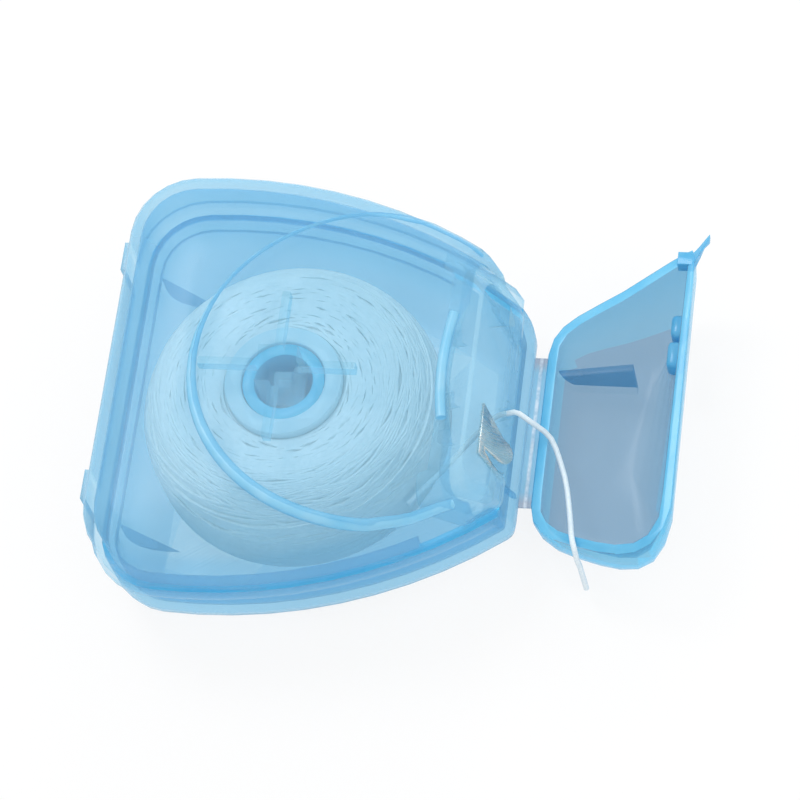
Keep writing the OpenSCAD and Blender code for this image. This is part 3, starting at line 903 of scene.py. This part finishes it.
def on_lid_rim(centre, normal):
    """Whether a face of the lid is part of its rim, on the plane that rises from the hinge."""
    slope = math.tan(math.radians(RIM_SLOPE))
    height = HINGE[1] + (centre.x / MM - HINGE[0]) * slope
    return normal.z > 0.85 and abs(centre.z / MM - height) < FACE_PLAY


class DISPENSER_OT_lid(bpy.types.Operator):
    """Adds the open lid with its fin, its latch lugs and its thumb tab, and the hinge web"""

    bl_idname = "dispenser.lid"
    bl_label = "Lid"

    def execute(self, context):
        s = context.scene.floss_lid
        panel = clear_plastic("lid blue", s.tint, edge_tint=(0.50, 0.68, 0.80),
                              haze=0.10, haze_colour=(0.40, 0.56, 0.70))
        wall = clear_plastic("lid wall", s.wall, edge_tint=(0.34, 0.76, 0.97),
                             haze=0.16, haze_colour=(0.22, 0.70, 0.96))
        # The lid's rim, its latch lugs and its thumb tab all get this painted glow
        rim = glowing_edge("lid rim glow", s.rim, (0.2, 0.64, 0.9))
        lid = node_copy("lid", "lid_shell", MOULDING_EDGE)
        mark_faces(lid, 2, on_lid_wall)
        mark_faces(lid, 1, on_lid_rim)
        give(lid, "lid", "lid_blue", panel, rim, wall)
        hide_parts("lid")
        lugs = [rounded_block("lug", place, size, LUG_BEVEL) for place, size in LUGS]
        lug = join(lugs, "lid_latch_lugs")
        soften(lug)
        give(lug, "lid", "lid_blue", rim)
        give(thumb_tab(), "lid", "lid_blue", rim)
        web = hinge_web()
        give(web, None, "hinge_web", creased_plastic("stressed web", (WEB_LOW[0] + WEB_HIGH[0]) / 2))
        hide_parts("living_hinge")
        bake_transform(web)
        return {"FINISHED"}


# Wound floss, in millimetres: radius where its top begins to fall, outer radius and core radius
FLAT_R = 10.5
PACK_R = 17.35
CORE_R = 6.85

# Heights of its top, of the widest part of its side, and of its foot
TOP_Z = 14.95
WAIST_Z = 8.5
FOOT_Z = 3.15

# Sides of a wound strand, and the degrees between its points
WOUND_SIDES = 6
STRAND_STEP = 6

# Strands over the top: their arcs in degrees, how far they wander inwards or outwards, and their seat
TOP_SWEEP = (70, 190)
TOP_DRIFT = (0.6, 2.6)
TOP_LIFT = 0.02
TOP_TUCK = 0.36

# Margins that they keep from the core and the rim, at their middle and along their way
CORE_MARGIN = 0.5
BOTH_MARGINS = 1.2
CORE_PLAY = 0.4
RIM_PLAY = 0.1

# Strands round the side: their arcs in degrees, how far they climb or fall, and their seat
SIDE_SWEEP = (120, 260)
SIDE_RISE = (1.0, 3.2)
SIDE_TUCK = 0.4

# Heights that they start in and keep to, from the foot and from the waist
SIDE_START = 0.3
SIDE_ABOVE = 2.5
SIDE_LOWEST = 0.4
SIDE_HIGHEST = 3.5

# Outer turns: their count, points on a turn, pitch, first height above the foot, and how far they stand out
TURNS = 10
TURN_POINTS = 48
TURN_PITCH = 0.62
TURN_START = 0.5
TURN_LIFT = 0.05

# Drum under the strands: its sides, its gap below them at the side and on top, and its rings up to the core
DRUM_SIDES = 96
DRUM_INSET = 0.25
DRUM_SINK = 0.08
DRUM_RINGS = (17.0, 16.6, 15.9, 14.9, 13.6, 12.2, FLAT_R, 8.6, CORE_R)
DRUM_CREASE = 50


def shoulder(radius):
    """Height of the wound floss at a radius, in millimetres: flat near the core, rounded outwards."""
    if radius < FLAT_R:
        return TOP_Z
    fall = min(1.0, (radius - FLAT_R) / (PACK_R - FLAT_R))
    return WAIST_Z + (TOP_Z - WAIST_Z) * math.sqrt(max(0.0, 1 - fall ** 2.2))


def side_fall(height):
    """How far the side of the wound floss lies inside its outer radius at a height, in millimetres."""
    return 0.0 if height < WAIST_Z else 0.16 * (height - WAIST_Z) ** 1.3


def tuck(t):
    """Share of its tuck that a strand has along its way: none in the middle and all of it at both ends."""
    return abs(2 * t - 1) ** 6


def arc_route(start, sweep, place):
    """A route round the reel's axis, in degrees, where place gives the radius and height along it."""
    steps = int(sweep / STRAND_STEP)
    route = []
    for k in range(steps + 1):
        t = k / steps
        a = math.radians(start + sweep * t)
        r, z = place(t)
        route.append((r * math.cos(a), r * math.sin(a), z))
    return route


def top_strand(rng, index, count):
    """One strand over the top of the winding."""
    radius = CORE_R + CORE_MARGIN + (PACK_R - CORE_R - BOTH_MARGINS) * (index + rng.random()) / count
    start = rng.random() * 360
    sweep = rng.uniform(*TOP_SWEEP)
    drift = rng.uniform(*TOP_DRIFT) * rng.choice((-1, 1))

    def place(t):
        r = min(PACK_R - RIM_PLAY, max(CORE_R + CORE_PLAY, radius + drift * (2 * t - 1)))
        return r, shoulder(r) + TOP_LIFT - TOP_TUCK * tuck(t)

    return arc_route(start, sweep, place)


def side_strand(rng):
    """One strand round the side of the winding."""
    start = rng.random() * 360
    low = FOOT_Z + SIDE_START + (WAIST_Z + SIDE_ABOVE - FOOT_Z) * rng.random()
    sweep = rng.uniform(*SIDE_SWEEP)
    rise = rng.uniform(*SIDE_RISE) * rng.choice((-1, 1))

    def place(t):
        z = min(WAIST_Z + SIDE_HIGHEST, max(FOOT_Z + SIDE_LOWEST, low + rise * t))
        return PACK_R - side_fall(z) - SIDE_TUCK * tuck(t), z

    return arc_route(start, sweep, place)


def outer_turns():
    """The unbroken strand that is wound round the outside."""
    route = []
    for k in range(TURNS * TURN_POINTS + 1):
        a = 2 * math.pi * k / TURN_POINTS
        z = FOOT_Z + TURN_START + TURN_PITCH * k / TURN_POINTS
        r = PACK_R + TURN_LIFT - side_fall(z)
        route.append((r * math.cos(a), r * math.sin(a), z))
    return route


def winding_routes(settings):
    """The strands over the top and round the side of the winding, and its outer turns."""
    rng = random.Random(settings.seed)
    count = settings.face_strands
    routes = [top_strand(rng, index, count) for index in range(count)]
    routes += [side_strand(rng) for _ in range(settings.turns * 2)]
    routes.append(outer_turns())
    return routes


def winding_body():
    """The mass of the winding under its strands: a drum with rounded shoulders and the core's bore."""
    low = FOOT_Z * MM
    base = (PACK_R - DRUM_INSET) * MM
    pick_none()
    bpy.ops.mesh.primitive_cylinder_add(vertices=DRUM_SIDES, radius=base, depth=WAIST_Z * MM - low,
                                        location=(0, 0, (low + WAIST_Z * MM) / 2), end_fill_type="NGON")
    body = bpy.context.object
    settle(body)
    start_edit(body)
    select_faces(body, lambda c, n: n.z > 0.9)
    radius = base
    height = WAIST_Z * MM
    for ring in DRUM_RINGS:
        top = (shoulder(ring) - DRUM_SINK) * MM
        bpy.ops.mesh.extrude_region_move(TRANSFORM_OT_translate={"value": (0, 0, top - height)})
        share = ring * MM / radius
        bpy.ops.transform.resize(value=(share, share, 1), center_override=(0, 0, top))
        radius, height = ring * MM, top
    select_faces(body, lambda c, n: n.z < -0.9)
    bpy.ops.mesh.inset(thickness=base - CORE_R * MM, depth=0)
    select_faces(body, lambda c, n: abs(n.z) > 0.9 and math.hypot(c.x, c.y) < 0.5 * MM)
    bpy.ops.mesh.bridge_edge_loops()
    end_edit()
    soften(body, DRUM_CREASE)
    return body


class DISPENSER_OT_reel(bpy.types.Operator):
    """Adds the reel's core and the floss wound on it"""

    bl_idname = "dispenser.reel"
    bl_label = "Reel"

    def execute(self, context):
        s = context.scene.floss_reel
        core = node_copy("spool_core", "reel_core", CORE_EDGE)
        give(core, "reel", "core_plastic", milky_plastic("milky core", (0.66, 0.92, 1.0), 0.8))
        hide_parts("spool_core")
        body = winding_body()
        thread = strands("strands", winding_routes(s), s.strand, WOUND_SIDES)
        winding = join([body, thread], "floss_pack")
        fibre = floss_fibre("wound floss", (0.84, 0.90, 0.90), (0.74, 0.82, 0.83), 1800)
        give(winding, "reel", "floss", fibre)
        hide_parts("floss_winding")
        return {"FINISHED"}


OPERATORS = (
    DISPENSER_OT_stage,
    DISPENSER_OT_floss,
    DISPENSER_OT_case,
    DISPENSER_OT_outlet,
    DISPENSER_OT_lid,
    DISPENSER_OT_reel,
)


class DISPENSER_PT_panel(bpy.types.Panel):
    """Lists the dispenser's settings and operators"""

    bl_label = "Floss dispenser"
    bl_idname = "DISPENSER_PT_panel"
    bl_space_type = "VIEW_3D"
    bl_region_type = "UI"
    bl_category = "Dispenser"

    def draw(self, context):
        for key, group in GROUPS.items():
            box = self.layout.box()
            box.label(text=group.__name__)
            for field in group.__annotations__:
                box.prop(getattr(context.scene, key), field)
        for operator in OPERATORS:
            self.layout.operator(operator.bl_idname)


CLASSES = (*GROUPS.values(), *OPERATORS, DISPENSER_PT_panel)


def register():
    """Registers the classes and puts the settings on the scene."""
    for item in CLASSES:
        bpy.utils.register_class(item)
    for key, group in GROUPS.items():
        setattr(bpy.types.Scene, key, PointerProperty(type=group))


def unregister():
    """Takes the settings and the classes away again."""
    for key in GROUPS:
        delattr(bpy.types.Scene, key)
    for item in reversed(CLASSES):
        bpy.utils.unregister_class(item)


def main():
    """Builds every piece."""
    register()
    bpy.ops.dispenser.stage()
    bpy.ops.dispenser.floss()
    bpy.ops.dispenser.case()
    bpy.ops.dispenser.outlet()
    bpy.ops.dispenser.lid()
    bpy.ops.dispenser.reel()
    pick_none()


if __name__ == "__main__":
    main()
